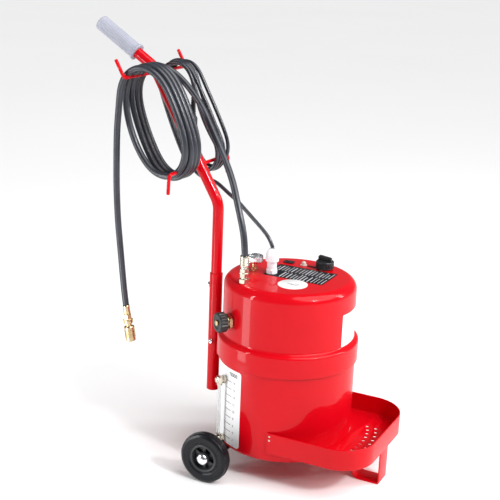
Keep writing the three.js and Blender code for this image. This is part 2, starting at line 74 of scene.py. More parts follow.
TANK_R, TANK_LOW, TANK_RIM = 156, 54, 290
COVER_R, COVER_TOP, COVER_ROUND = 150, 445, 22
BAND_R, BAND_LOW, BAND_HIGH = 161, 259, 308
WHEEL_R, WHEEL_Y, WHEEL_OUT, WHEEL_IN = 58, 95, 219, 191
TRAY_LOW, TRAY_HIGH, TRAY_HALF, TRAY_FRONT, TRAY_CORNER, TRAY_REAR = 79.4, 127.4, 156.5, 254, 80, 30
FLOOR_TOP = TRAY_LOW + 3
TUBE_R, SLEEVE_R, SLEEVE_Y, SLEEVE_LOW, SLEEVE_HIGH = 12.7, 15.2, 190, 126, 417
HANDLE_CORNERS = [(0, 190, 132), (0, 190, 584), (0, 367, 879), (0, 508, 967)]
BAR_R, BAR_U = 4, 116.6
RUN_Y, RUN_Z, RUN_SLOPE_Y, RUN_SLOPE_Z = 301, 768, 0.515, 0.857
FITTING_TURN = radians(144.5)
OUTLET, GLAND, GAUGE, FILLER, SWITCH, LAMP = (-106, 65), (-9, 44), (-18, 84), (86, -46), (86, 44), (84, 6)
HOSE_R, CABLE_R = 7.5, 4.5
PLUG_X, PLUG_Y, PLUG_TOP = 116.3, 328, 800


def row(point):
    """A point on the tank's axis in millimetres, as a point of the row frame in metres."""
    return TO_ROW @ Vector(point)


def on_run(x, u, v):
    """A point by the handle's inclined run: u along it, v across it towards the front."""
    return Vector((x, RUN_Y + RUN_SLOPE_Y * u - RUN_SLOPE_Z * v, RUN_Z + RUN_SLOPE_Z * u + RUN_SLOPE_Y * v))


def shift(x=0.0, y=0.0, z=0.0):
    return Matrix.Translation((x, y, z))


def spun(angle, axis):
    return Matrix.Rotation(angle, 4, axis)


def polar(radius, angle, z=0.0):
    return Vector((radius * cos(angle), radius * sin(angle), z))


def linked(name, data):
    """A new object, put in the scene."""
    made = bpy.data.objects.new(name, data)
    bpy.context.collection.objects.link(made)
    return made


def turned_to(direction):
    """Turns the Z axis to a direction."""
    return Z.rotation_difference(Vector(direction)).to_matrix().to_4x4()


# ---- camera
def make_camera():
    azimuth, elevation, roll = radians(-63.9), radians(16.6), radians(2.3)
    right = Vector((cos(azimuth), sin(azimuth), 0))
    back = Vector((sin(azimuth) * cos(elevation), -cos(azimuth) * cos(elevation),
                   sin(elevation)))
    up = back.cross(right)
    side = cos(roll) * right + sin(roll) * up
    top = -sin(roll) * right + cos(roll) * up
    data = bpy.data.cameras.new("camera")
    data.sensor_width, data.lens = 36, 79.3
    data.clip_end = 200
    camera = linked("camera", data)
    matrix = Matrix((side, top, back)).transposed().to_4x4()
    matrix.translation = (-2.164, -1.0876, 1.205)
    camera.matrix_world = matrix
    bpy.context.scene.camera = camera


make_camera()


def surface(name, colour, second=None, patch=12.0, rough=0.4, spread=0.06, grain=200.0, bump=0.0,
            depth=0.0002, bump_scale=300.0, **sockets):
    """A material whose colour, roughness and relief vary over the surface. Distances are in metres."""
    mat = bpy.data.materials.new(name)
    mat.use_nodes = True
    nodes, links = mat.node_tree.nodes, mat.node_tree.links
    shader = nodes["Principled BSDF"]
    coords = nodes.new("ShaderNodeTexCoord")

    def noise(scale, detail=4.0):
        node = nodes.new("ShaderNodeTexNoise")
        node.inputs["Scale"].default_value = scale
        node.inputs["Detail"].default_value = detail
        links.new(coords.outputs["Object"], node.inputs["Vector"])
        return node

    second = second or tuple(c * 0.85 for c in colour)
    ramp = nodes.new("ShaderNodeValToRGB")
    for element, position, value in zip(ramp.color_ramp.elements, (0.35, 0.85), (second, colour)):
        element.position, element.color = position, (*value, 1)
    links.new(noise(patch).outputs["Fac"], ramp.inputs["Fac"])
    links.new(ramp.outputs["Color"], shader.inputs["Base Color"])
    spread_node = nodes.new("ShaderNodeMapRange")
    spread_node.inputs["To Min"].default_value = max(0.01, rough - spread)
    spread_node.inputs["To Max"].default_value = rough + spread
    links.new(noise(grain, 6.0).outputs["Fac"], spread_node.inputs["Value"])
    links.new(spread_node.outputs["Result"], shader.inputs["Roughness"])
    if bump:
        relief = nodes.new("ShaderNodeBump")
        relief.inputs["Strength"].default_value = bump
        relief.inputs["Distance"].default_value = depth
        links.new(noise(bump_scale, 3.0).outputs["Fac"], relief.inputs["Height"])
        links.new(relief.outputs["Normal"], shader.inputs["Normal"])
    for socket, value in sockets.items():
        shader.inputs[socket.replace("_", " ")].default_value = value
    return mat


RED = surface("red_enamel", (0.60, 0.0016, 0.0085), (0.55, 0.0012, 0.0065), patch=9, rough=0.30, spread=0.05,
              grain=90, bump=0.08, depth=0.0003, bump_scale=260, Specular_IOR_Level=0.04,
              Coat_Weight=0.34, Coat_Roughness=0.045)
BLACK_STEEL = surface("black_steel", (0.030, 0.031, 0.034), (0.016, 0.016, 0.018), rough=0.42, grain=260,
                      bump=0.15, bump_scale=500)
DECK = surface("deck_zinc", (0.45, 0.46, 0.48), (0.33, 0.34, 0.36), patch=40, rough=0.4, Metallic=0.9)
CASTING = surface("pump_casting", (0.42, 0.43, 0.45), (0.30, 0.31, 0.33), rough=0.5, bump=0.4, Metallic=0.8)
MOTOR = surface("motor_case", (0.05, 0.055, 0.06), rough=0.5, bump=0.2)
CHROME = surface("chrome", (0.82, 0.83, 0.85), (0.72, 0.73, 0.76), patch=30, rough=0.09, spread=0.04,
                 grain=400, bump=0.03, bump_scale=800, Metallic=1.0)
NICKEL = surface("nickel", (0.78, 0.73, 0.63), (0.58, 0.53, 0.44), patch=60, rough=0.24, spread=0.08,
                 grain=500, bump=0.06, bump_scale=900, Metallic=1.0)
BRASS = surface("brass", (0.76, 0.62, 0.38), (0.55, 0.43, 0.24), patch=70, rough=0.26, spread=0.09, grain=450,
                bump=0.06, bump_scale=900, Metallic=1.0)
HOSE = surface("hose_rubber", (0.038, 0.043, 0.058), (0.016, 0.018, 0.026), patch=16, rough=0.30, spread=0.08,
               grain=700, bump=0.22, depth=0.0003, bump_scale=900, Specular_IOR_Level=0.6)
CABLE = surface("cable_jacket", (0.034, 0.038, 0.052), (0.014, 0.016, 0.024), patch=20, rough=0.27,
                spread=0.08, grain=800, bump=0.16, depth=0.0002, bump_scale=1200, Specular_IOR_Level=0.6)
TYRE = surface("tyre_rubber", (0.012, 0.013, 0.017), (0.005, 0.0055, 0.007), patch=26, rough=0.25,
               spread=0.08, grain=350, bump=0.2, depth=0.0003, bump_scale=700, Specular_IOR_Level=0.22)
HUB = surface("hub_plastic", (0.028, 0.029, 0.033), (0.016, 0.017, 0.019), patch=60, rough=0.38, grain=400,
              bump=0.15, bump_scale=800)
PLASTIC = surface("black_plastic", (0.018, 0.019, 0.021), (0.010, 0.010, 0.012), patch=60, rough=0.36,
                  grain=500, bump=0.2, bump_scale=1100)
GASKET = surface("gasket_rubber", (0.02, 0.02, 0.022), rough=0.7, bump=0.3, bump_scale=900)
VINYL = surface("grip_vinyl", (0.40, 0.41, 0.49), (0.35, 0.36, 0.43), patch=30, rough=0.38, spread=0.06,
                grain=300, bump=0.12, bump_scale=600, Subsurface_Weight=0.15,
                Subsurface_Radius=(0.004, 0.004, 0.004))
NYLON = surface("white_nylon", (0.88, 0.90, 0.93), (0.80, 0.82, 0.86), patch=60, rough=0.28, spread=0.05,
                grain=300, bump=0.05, Subsurface_Weight=0.12, Subsurface_Radius=(0.006, 0.006, 0.006))
DECAL = surface("decal_white", (0.90, 0.90, 0.90), (0.84, 0.84, 0.85), patch=25, rough=0.30, spread=0.05,
                grain=160, bump=0.04, bump_scale=300, Coat_Weight=0.3)
DECAL_DARK = surface("decal_dark", (0.008, 0.009, 0.012), (0.005, 0.0055, 0.007), patch=25, rough=0.42,
                     spread=0.05, grain=160, bump=0.04, bump_scale=300, Specular_IOR_Level=0.12)
PRINT_DARK = surface("print_dark", (0.018, 0.018, 0.022), (0.035, 0.035, 0.04), patch=400, rough=0.5,
                     Specular_IOR_Level=0.2)
PRINT_PALE = surface("print_pale", (0.70, 0.71, 0.74), (0.50, 0.51, 0.54), patch=300, rough=0.5,
                     Specular_IOR_Level=0.15)
PRINT_RED = surface("print_red", (0.60, 0.05, 0.05), rough=0.5)
DIAL = surface("dial_white", (0.88, 0.88, 0.86), (0.82, 0.82, 0.80), patch=90, rough=0.5)
GLASS = surface("clear_lens", (0.97, 0.98, 0.98), (0.95, 0.96, 0.97), rough=0.03, spread=0.02,
                Transmission_Weight=1.0, IOR=1.45)
TUBE = surface("clear_tube", (0.93, 0.95, 0.95), (0.88, 0.91, 0.90), rough=0.08, spread=0.04,
               Transmission_Weight=0.9, IOR=1.42)
LAMP_LENS = surface("lamp_lens", (0.86, 0.84, 0.78), (0.80, 0.76, 0.68), patch=200, rough=0.15, spread=0.05,
                    Transmission_Weight=0.5, IOR=1.49)


# ---- mesh helpers
def bridge(bm, a, b):
    """Faces between two rings, either of which may be a single point."""
    if len(a) == 1 and len(b) == 1:
        return
    n = max(len(a), len(b))
    for i in range(n):
        j = (i + 1) % n
        if len(a) == 1:
            bm.faces.new((a[0], b[j], b[i]))
        elif len(b) == 1:
            bm.faces.new((a[i], a[j], b[0]))
        else:
            bm.faces.new((a[i], a[j], b[j], b[i]))


def rounded(corners, steps=5):
    """A profile with some corners rounded: each corner is (r, z) or (r, z, radius)."""
    points = []
    for i, corner in enumerate(corners):
        here = Vector(corner[:2])
        if len(corner) < 3 or i in (0, len(corners) - 1):
            points.append(tuple(here))
            continue
        before, after = Vector(corners[i - 1][:2]) - here, Vector(corners[i + 1][:2]) - here
        half = before.angle(after) / 2
        reach = min(corner[2] / tan(half), before.length * 0.49, after.length * 0.49)
        radius = reach * tan(half)
        centre = here + (before.normalized() + after.normalized()).normalized() * radius / sin(half)
        start, end = here + before.normalized() * reach - centre, here + after.normalized() * reach - centre
        sweep_angle = start.angle_signed(end)
        for k in range(steps + 1):
            arm = start.copy()
            arm.rotate(Matrix.Rotation(-sweep_angle * k / steps, 2))
            points.append(tuple(centre + arm))
    return points


def revolve(bm, profile, at=Matrix(), count=96, shape=None):
    """Turns a profile of (r, z) about Z. shape(angle, r, z) can change a point's radius."""
    rings = []
    for radius, height in profile:
        if radius < 1e-6:
            rings.append([bm.verts.new(at @ Vector((0, 0, height)))])
            continue
        ring = []
        for i in range(count):
            angle = 2 * pi * i / count
            r = shape(angle, radius, height) if shape else radius
            ring.append(bm.verts.new(at @ polar(r, angle, height)))
        rings.append(ring)
    for low, high in zip(rings, rings[1:]):
        bridge(bm, low, high)


def hexagon(flat, angle):
    """How far a hexagon reaches at an angle, where flat is half its width across flats."""
    return flat / cos((angle + pi / 6) % (pi / 3) - pi / 6)


def nut(bm, across, low, high, at=Matrix(), count=72):
    """A hexagon with the curved chamfers of a turned nut."""
    flat = across / 2
    rim = flat * 0.985
    rings = [[bm.verts.new(at @ Vector((0, 0, low)))], [], [], [], [],
             [bm.verts.new(at @ Vector((0, 0, high)))]]
    for i in range(count):
        angle = 2 * pi * i / count
        corner = hexagon(flat, angle)
        drop = (corner - rim) * 0.55
        for ring, r, z in ((1, rim, low), (2, corner, low + drop), (3, corner, high - drop), (4, rim, high)):
            rings[ring].append(bm.verts.new(at @ polar(r, angle, z)))
    for a, b in zip(rings, rings[1:]):
        bridge(bm, a, b)


def block(bm, size, at=Matrix(), bevel=0.8, segments=3):
    """A box of the given size about the origin, with rounded edges."""
    made = bmesh.ops.create_cube(bm, size=1, matrix=Matrix.Diagonal((*size, 1)))["verts"]
    edges = list({e for v in made for e in v.link_edges})
    result = bmesh.ops.bevel(bm, geom=edges, offset=bevel, segments=segments, profile=0.5, affect="EDGES")
    verts = {v for f in result["faces"] for v in f.verts} | {v for v in made if v.is_valid}
    bmesh.ops.transform(bm, matrix=at, verts=list(verts))


def bent(corners, radii, step=6.0):
    """A path through corners, each inner corner rounded to a radius."""
    corners = [Vector(c) for c in corners]
    points = [corners[0]]
    for i in range(1, len(corners) - 1):
        here, radius = corners[i], radii[i - 1]
        before, after = (corners[i - 1] - here).normalized(), (corners[i + 1] - here).normalized()
        half = before.angle(after) / 2
        centre = here + (before + after).normalized() * radius / sin(half)
        start = here + before * radius / tan(half) - centre
        end = here + after * radius / tan(half) - centre
        angle = start.angle(end)
        count = max(4, int(degrees(angle) / step))
        arms = [start.normalized().slerp(end.normalized(), k / count) for k in range(count + 1)]
        points += [centre + arm * radius for arm in arms]
    points.append(corners[-1])
    return points


def ellipse(cx, cy, rx, ry, count=64):
    return [(cx + rx * cos(2 * pi * i / count), cy + ry * sin(2 * pi * i / count))
            for i in range(count)]


def circle(radius, count=32):
    return ellipse(0, 0, radius, radius, count)


def strip(half_width, half_thick, corner=1.2):
    """The section of a flat strip, drawn from the middle of one end."""
    w, t = half_width, half_thick
    return rounded([(-w, 0), (-w, t, corner), (w, t, corner), (w, -t, corner), (-w, -t, corner), (-w, 0)],
                   4)[:-1]


def rectangle(x0, x1, y0, y1, corner, steps=5):
    middle = (x0 + x1) / 2
    return rounded([(middle, y0), (x0, y0, corner), (x0, y1, corner), (x1, y1, corner), (x1, y0, corner),
                    (middle, y0)], steps)[:-1]


def sweep(bm, path, section, start_side=None, inner=None, end_scale=1.0):
    """Carries a section along a path. inner makes it hollow, and end_scale narrows the end rings a little."""
    path = [Vector(p) for p in path]
    if end_scale < 1.0:
        lead = 0.35 * max(abs(c) for p in section for c in p)
        path = [path[0], path[0] + (path[1] - path[0]).normalized() * lead, *path[1:-1],
                path[-1] + (path[-2] - path[-1]).normalized() * lead, path[-1]]
    tangents = []
    for i in range(len(path)):
        a, b = path[max(i - 1, 0)], path[min(i + 1, len(path) - 1)]
        tangents.append((b - a).normalized())
    side = Vector(start_side) if start_side else tangents[0].orthogonal().normalized()
    outer_rings, inner_rings = [], []
    for i, (point, tangent) in enumerate(zip(path, tangents)):
        if i:
            side = tangents[i - 1].rotation_difference(tangent) @ side
        side = (side - tangent * side.dot(tangent)).normalized()
        lift = tangent.cross(side)
        scale = end_scale if i in (0, len(path) - 1) else 1.0
        outer_rings.append([bm.verts.new(point + side * a * scale + lift * b * scale) for a, b in section])
        if inner:
            inner_rings.append([bm.verts.new(point + side * a + lift * b) for a, b in inner])
    for a, b in zip(outer_rings, outer_rings[1:]):
        bridge(bm, a, b)
    if inner:
        for a, b in zip(inner_rings, inner_rings[1:]):
            bridge(bm, b, a)
        bridge(bm, inner_rings[0], outer_rings[0])
        bridge(bm, outer_rings[-1], inner_rings[-1])
    else:
        bm.faces.new(outer_rings[0])
        bm.faces.new(outer_rings[-1])


def patch(bm, radius, thick, turn_a, turn_b, z_low, z_high, corner=0.0, columns=48):
    """A thin sheet that follows a cylinder about Z, with rounded corners."""
    width = radius * (turn_b - turn_a)
    stops = [width * i / columns for i in range(columns + 1)]
    if corner:
        for k in range(1, 8):
            edge = corner * (1 - cos(pi / 2 * k / 8))
            stops += [edge, width - edge]
    columns_made = []
    for s in sorted(set(stops)):
        near = min(s, width - s)
        cut = corner - sqrt(max(0.0, corner ** 2 - (corner - near) ** 2)) if near < corner else 0.0
        angle = turn_a + s / radius
        column = []
        for r in (radius, radius + thick):
            for z in (z_low + cut, z_high - cut):
                column.append(bm.verts.new(polar(r, angle, z)))
        columns_made.append(column)
    for a, b in zip(columns_made, columns_made[1:]):
        for i, j in ((0, 1), (1, 3), (3, 2), (2, 0)):
            bm.faces.new((a[i], a[j], b[j], b[i]))
    for end in (columns_made[0], columns_made[-1]):
        bm.faces.new((end[0], end[1], end[3], end[2]))


def add_curve(bm, curve, move):
    """Adds the faces of a flat curve or of digits, each point moved by move(point), and removes the curve."""
    holder = bpy.data.objects.new("outline", curve)
    mesh = bpy.data.meshes.new_from_object(holder)
    for v in mesh.vertices:
        v.co = move(v.co)
    bm.from_mesh(mesh)
    bpy.data.objects.remove(holder)
    bpy.data.curves.remove(curve)
    bpy.data.meshes.remove(mesh)


def flat_piece(bm, outline, z_low, z_high, holes=()):
    """A plate drawn in X and Y, with its edges slightly rounded."""
    curve = bpy.data.curves.new("outline", "CURVE")
    curve.dimensions, curve.fill_mode = "2D", "BOTH"
    edge = min(0.35, (z_high - z_low) * 0.3)
    curve.extrude, curve.bevel_depth, curve.bevel_resolution = (z_high - z_low) / 2 - edge, edge, 1
    curve.offset = -edge
    for loop in (outline, *holes):
        spline = curve.splines.new("POLY")
        spline.points.add(len(loop) - 1)
        for point, (x, y) in zip(spline.points, loop):
            point.co = (x, y, 0, 1)
        spline.use_cyclic_u = True
    add_curve(bm, curve, lambda p: p + Z * (z_low + z_high) / 2)


def number(bm, text, size, place):
    """Digits in the built-in font, each point moved by place(point)."""
    curve = bpy.data.curves.new("digits", "FONT")
    curve.body, curve.size, curve.extrude = text, size, 0.04
    curve.align_x, curve.align_y = "CENTER", "CENTER"
    curve.resolution_u = 3
    add_curve(bm, curve, place)


def finished(name, bm, material, body="frame", replaces=(), at=Matrix(), slot=None, sharp=30.0, weld=True):
    """Makes the piece: moves the mesh to the row frame, smooths it but for its sharp edges, and rides it."""
    bm.transform(TO_ROW @ at)
    if weld:
        bmesh.ops.remove_doubles(bm, verts=bm.verts, dist=1e-7)
    bmesh.ops.recalc_face_normals(bm, faces=bm.faces)
    limit = radians(sharp)
    for face in bm.faces:
        face.smooth = True
    for edge in bm.edges:
        if len(edge.link_faces) == 2:
            edge.smooth = edge.calc_face_angle(0.0) < limit
    mesh = bpy.data.meshes.new(name)
    bm.to_mesh(mesh)
    bm.free()
    mesh.materials.append(material)
    piece = linked(name, mesh)
    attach(piece, body)
    if replaces:
        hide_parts(*replaces)
    return piece


def turned(name, profile, material, count=96, shape=None, **how):
    """A finished piece that is one profile turned about Z."""
    bm = bmesh.new()
    revolve(bm, profile, count=count, shape=shape)
    return finished(name, bm, material, **how)


def flat(name, outline, z_low, z_high, material, **how):
    """A finished piece that is one plate."""
    bm = bmesh.new()
    flat_piece(bm, outline, z_low, z_high)
    return finished(name, bm, material, **how)


def swept(name, path, section, material, start_side=None, **how):
    """A finished piece that is one section carried along a path."""
    bm = bmesh.new()
    sweep(bm, path, section, start_side)
    return finished(name, bm, material, **how)


# ---- cords
def smoothed(points, step=5.0, passes=10):
    """Resamples a rough path evenly and rounds it off, keeping both ends."""
    points = [Vector(p) for p in points]
    for _ in range(3):
        lengths = [0.0]
        for a, b in zip(points, points[1:]):
            lengths.append(lengths[-1] + (b - a).length)
        count = int(lengths[-1] / step)
        fresh, k = [], 0
        for i in range(count + 1):
            want = lengths[-1] * i / count
            while k < len(points) - 2 and lengths[k + 1] < want:
                k += 1
            span = lengths[k + 1] - lengths[k]
            fresh.append(points[k].lerp(points[k + 1], (want - lengths[k]) / span if span else 0))
        for _ in range(passes):
            held = fresh[:2]
            fresh = held + [(a + b * 2 + c) / 4 for a, b,
                            c in zip(fresh[1:], fresh[2:], fresh[3:])] + fresh[-1:]
        points = fresh
    return points


def loop_point(share, half_length, half_width, middle, end_middle):
    """(u, v) on a long loop with round ends: share 0 is at its top, and it goes down the rear first."""
    straight = half_length - half_width
    side, arc = 2 * straight, pi * half_width
    s = (share % 1.0) * 2 * (side + arc)
    if s < arc / 2:
        angle = s / half_width
        u, v = straight + half_width * cos(angle), -half_width * sin(angle)
    elif s < arc / 2 + side:
        u, v = straight - (s - arc / 2), -half_width
    elif s < arc * 1.5 + side:
        angle = (s - arc / 2 - side) / half_width
        u, v = -straight - half_width * sin(angle), -half_width * cos(angle)
    elif s < arc * 1.5 + 2 * side:
        u, v = -straight + (s - arc * 1.5 - side), half_width
    else:
        angle = (s - arc * 1.5 - 2 * side) / half_width
        u, v = straight + half_width * sin(angle), half_width * cos(angle)
    bow = (u / half_length) ** 2
    return u, v + middle * (1 - bow) + end_middle * bow


def joined(first, second, pull=0.4):
    """Two paths made into one, with a smooth curve over the gap between them."""
    a, b = Vector(first[-1]), Vector(second[0])
    gap = (b - a).length
    p = a + (a - Vector(first[-2])).normalized() * gap * pull
    q = b - (Vector(second[1]) - b).normalized() * gap * pull
    count = max(3, int(gap / 4))
    middle = []
    for i in range(1, count):
        t = i / count
        middle.append(a * (1 - t) ** 3 + p * (3 * t * (1 - t) ** 2) + q * (3 * t * t * (1 - t)) + b * t ** 3)
    return list(first) + middle + list(second)


def over_the_top(x_from, x_to, y, z, radius, angle_from, angle_to, count=16):
    """An arc in a plane square to the bars, from one angle to another."""
    points = []
    for i in range(count + 1):
        t = i / count
        angle = radians(angle_from + (angle_to - angle_from) * t)
        points.append((x_from + (x_to - x_from) * t, y + radius * cos(angle), z + radius * sin(angle)))
    return points


def hose_path():
    rise = [(-106, 65, 507.5), (-106, 66, 524), (-104, 70, 554), (-97, 84, 589), (-86, 101, 626),
            (-72, 118, 659), (-55, 146, 697), (-38, 175, 730), (-22, 204, 763), (-5, 235, 801), (6, 272, 835),
            (9, 303, 861), (2, 326, 878)]
    tops = [-46, -61.8, -77.6, -94, -113]
    sizes = [(63.5, 6), (62, 7), (63, 6), (63, 4)]
    half_length, roundness, lean, last = 130, 0.5, 0.12, len(sizes) - 1
    turns = []
    per_turn = 40
    for k, (half_width, middle) in enumerate(sizes):
        for i in range(per_turn):
            share = i / per_turn
            u, v = loop_point(share, half_length, half_width, 0, 0)
            oval = half_width * sqrt(max(0.0, 1 - (u / half_length) ** 2))
            v = copysign((1 - roundness) * abs(v) + roundness * oval, v) + middle
            if k == last:
                u *= 0.94 if u < 0 else 1
                v -= 9 * (1 - (u / 131) ** 2) ** 2 if share < 0.5 else 0
            if k == last and share > 0.5 and u > 74:
                break
            v += lean * u
            blend = share + 0.05 * sin(4 * pi * share)
            turns.append(on_run(tops[k] + (tops[k + 1] - tops[k]) * blend, u, v))
    # The last turn goes over the others at the top and falls from the upper bar's end.
    crown = over_the_top(-112, -119, 327, 840, 54, 140, 4)
    drop = [(-120, 383.5, 800), (-120, 385.5, 783), (-120, 388, 754), (-120, 389, 709), (-120, 389, 621),
            (-120, 385, 542), (-120, 376, 460), (-120, 368, 385), (-120, 363.5, 352), (-120, 361.6, 341)]
    return smoothed(joined(joined(joined(rise, turns[2:]), crown), drop))


def cable_path():
    run = [(-9, 44, 504.5), (-9, 47, 512), (-9, 54.5, 527), (-5, 72, 541), (2, 99, 559), (8, 124, 576),
           (14, 146, 591), (24, 180, 606), (30, 203, 619)]
    picker = random.Random(11)
    turns = []
    per_turn, bows = 28, (14, -12, 8, -26, -4, -20, 6, 0)
    part_turn, first_x, pitch, sway, lean = 0.37, 41, 9.7, 3.0, 0.10
    count = len(bows) - 2
    sizes = []
    for k, bow in enumerate(bows):
        near = 1 - k / (count + 1)
        sizes.append((127.5 + picker.uniform(-0.5, 1.5), 43 + 6 * near + picker.uniform(-3, 3), bow,
                      picker.uniform(4, 11)))
    total = int(per_turn * (count + part_turn))
    for i in range(2, total):
        turn = i / per_turn
        k = int(turn)
        mix = turn - k
        mix = mix * mix * (3 - 2 * mix)
        long_, wide, mid, sag = (a + (b - a) * mix for a, b in zip(sizes[k], sizes[k + 1]))
        u, v = loop_point(0.5 - turn, long_, wide, mid, -2)
        u -= sag * max(0.0, -u / long_) ** 2
        v += lean * u
        turns.append(on_run(first_x + pitch * turn + sway * sin(2 * pi * turn + 0.8), u, v))
    # The free end goes over the top of the turns and hangs inside them, down to the plug.
    crown = over_the_top(107, PLUG_X, 365.5, 849, 37.5, 0, 180)
    path = joined(joined(run, turns), crown)
    return smoothed(path + [(PLUG_X, PLUG_Y, 835), (PLUG_X, PLUG_Y, PLUG_TOP + 1)], 4.0, 5)


def cord_object(name, points, radius, material, nodes):
    curve = bpy.data.curves.new(name, "CURVE")
    curve.dimensions = "3D"
    curve.bevel_depth, curve.bevel_resolution = radius * 0.001, 6
    curve.use_fill_caps = True
    spline = curve.splines.new("POLY")
    spline.points.add(len(points) - 1)
    for target, point in zip(spline.points, points):
        target.co = (*row(point), 1)
    spline.use_smooth = True
    curve.materials.append(material)
    piece = linked(name, curve)
    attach(piece, "frame")
    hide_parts(*nodes)
    length = sum((row(b) - row(a)).length for a, b in zip(points, points[1:]))
    return piece, length


hose_points = hose_path()
hose, hose_length = cord_object("fluid_hose", hose_points, HOSE_R, HOSE,
                                ("hose_riser", "hose_coil", "hose_drop"))
cable_points = cable_path()
cable, cable_length = cord_object("supply_lead", cable_points, CABLE_R, CABLE,
                                  ("cable_run", "cable_coil"))


# ---- tank and cover
def tank_and_cover():
    turned("tank_body", rounded([(0, TANK_LOW), (TANK_R, TANK_LOW, 12), (TANK_R, TANK_RIM),
                                 (TANK_R - 2, TANK_RIM), (TANK_R - 2, TANK_LOW + 2, 10), (0, TANK_LOW + 2)],
                                10), RED, 192, replaces=["tank_shell"])
    r, top = COVER_R, COVER_TOP
    outer = rounded([(BAND_R - 1.4, BAND_LOW + 0.2), (BAND_R, BAND_LOW, 0.8), (BAND_R, BAND_HIGH - 1, 7),
                     (r, BAND_HIGH + 4, 6), (r, top, COVER_ROUND), (0, top)], 12)
    inner = rounded([(0, top - 2), (r - 2, top - 2, COVER_ROUND - 2), (r - 2, BAND_HIGH + 4, 6),
                     (BAND_R - 2, BAND_HIGH - 3, 5), (BAND_R - 2, BAND_LOW + 0.5),
                     (BAND_R - 1.4, BAND_LOW + 0.2)], 8)
    turned("pump_cover", outer + inner[:-1] + [(BAND_R - 1.4, BAND_LOW + 0.2)], RED, 192,
           replaces=["cover_shell"])


tank_and_cover()


# ---- tray and foot
def tray_outline(inset, count=24):
    half, front, corner = TRAY_HALF - inset, -(TRAY_FRONT - inset), TRAY_CORNER - inset
    points = [(-half, -TRAY_REAR)]
    for centre, start in ((-half + corner, pi), (half - corner, 1.5 * pi)):
        for i in range(count + 1):
            angle = start + pi / 2 * i / count
            points.append((centre + corner * cos(angle), front + corner + corner * sin(angle)))
    points.append((half, -TRAY_REAR))
    return points


def tray():
    wall = rounded([(-2.5, TRAY_LOW + 8), (-2.5, TRAY_HIGH, 1.1), (0, TRAY_HIGH, 1.1), (0, TRAY_LOW, 2.2),
                    (-2.5, TRAY_LOW, 0.6), (-2.5, TRAY_LOW + 8)], 4)[:-1]
    path = [Vector((x, y, 0)) for x, y in tray_outline(0)]
    swept("tray_rim", path, [(a, -b) for a, b in wall], RED, start_side=(-1, 0, 0), replaces=["tray_wall"])
    outline, gap_r, steps = tray_outline(2.6), TANK_R + 0.3, 48
    turn = asin(TRAY_REAR / gap_r)
    for i in range(steps + 1):
        angle = -turn - (pi - 2 * turn) * i / steps
        outline.append(polar(gap_r, angle).xy)
    holes = []
    step = radians(5.6)
    for radius, turns_ in ((197, (0.5, 1.5, 2.5, 3.5, 4.5)), (216, (0, 1, 2, 3, 4))):
        for k in turns_:
            for side in ((1,) if k == 0 else (-1, 1)):
                angle = side * k * step
                holes.append(ellipse(radius * sin(angle), -radius * cos(angle), 4, 4, 28))
    bm = bmesh.new()
    flat_piece(bm, outline, TRAY_LOW + 0.5, FLOOR_TOP, holes)
    finished("tray_bottom", bm, RED, replaces=["tray_floor"])
    # The rim's bend into the floor, inside the tray.
    path = [Vector((x, y, FLOOR_TOP)) for x, y in tray_outline(2.5)]
    fillet = [(0.2, -0.2), (0.2, 4.0)] + [(-4 + 4 * cos(radians(t)), 4 - 4 * sin(radians(t)))
                                         for t in range(0, 91, 15)] + [(-4, -0.2)]
    swept("tray_bend", path, [(a, -b) for a, b in fillet], RED, start_side=(-1, 0, 0))
    for side, name in ((-1, "left"), (1, "right")):
        bm = bmesh.new()
        for z in (111, 120):
            dome = rounded([(0, 0), (2.4, 0), (2.4, 0.4), (1.4, 1.3, 0.8), (0, 1.4)], 3)
            revolve(bm, dome, shift(side * (TRAY_HALF - 0.1), -37, z) @ turned_to((side, 0, 0)), 24)
        finished(f"rim_rivets_{name}", bm, NICKEL)
    path = bent([(0, -250.5, 79.1), (0, -250.5, 1.5), (0, -186.5, 1.5), (0, -186.5, 79.1)], [3.0, 16.5], 5)
    swept("foot_strip", path, strip(24, 1.5), RED, start_side=(1, 0, 0), replaces=["front_foot"])


tray()


# ---- axle and wheels
def axle():
    corners = [(-176.5, 78), (-176.5, 44.5), (-161, 44.5), (-151, 51.7), (151, 51.7), (161, 44.5),
               (176.5, 44.5), (176.5, 78)]
    path = bent([(x, WHEEL_Y, z) for x, z in corners], [4, 5, 5, 5, 5, 4], 10)
    swept("axle_strap", path, strip(20, 2), BLACK_STEEL, start_side=(0, 1, 0), replaces=["axle_beam"])


def hub_piece(bm):
    out, inn = WHEEL_OUT, WHEEL_IN
    revolve(bm, rounded([(25.6, inn + 3), (32.7, inn + 3, 0.8), (32.7, out - 3, 0.6), (31, out - 1.6, 0.8),
                         (27.4, out - 2.4, 0.8), (25.6, out - 9), (25.6, inn + 3)], 4), count=96)
    revolve(bm, rounded([(6.4, inn), (14, inn, 1), (14, out - 1, 1.2), (6.4, out - 1), (6.4, inn)], 4),
            count=64)
    revolve(bm, [(13.5, inn + 9), (26, inn + 9), (26, inn + 12), (13.5, inn + 12), (13.5, inn + 9)], count=64)
    for k in range(6):
        at = spun(pi / 3 * k, "Z") @ shift(19.8, 0, out - 13.5)
        block(bm, (13.0, 6.4, 9.0), at, 1.0, 2)


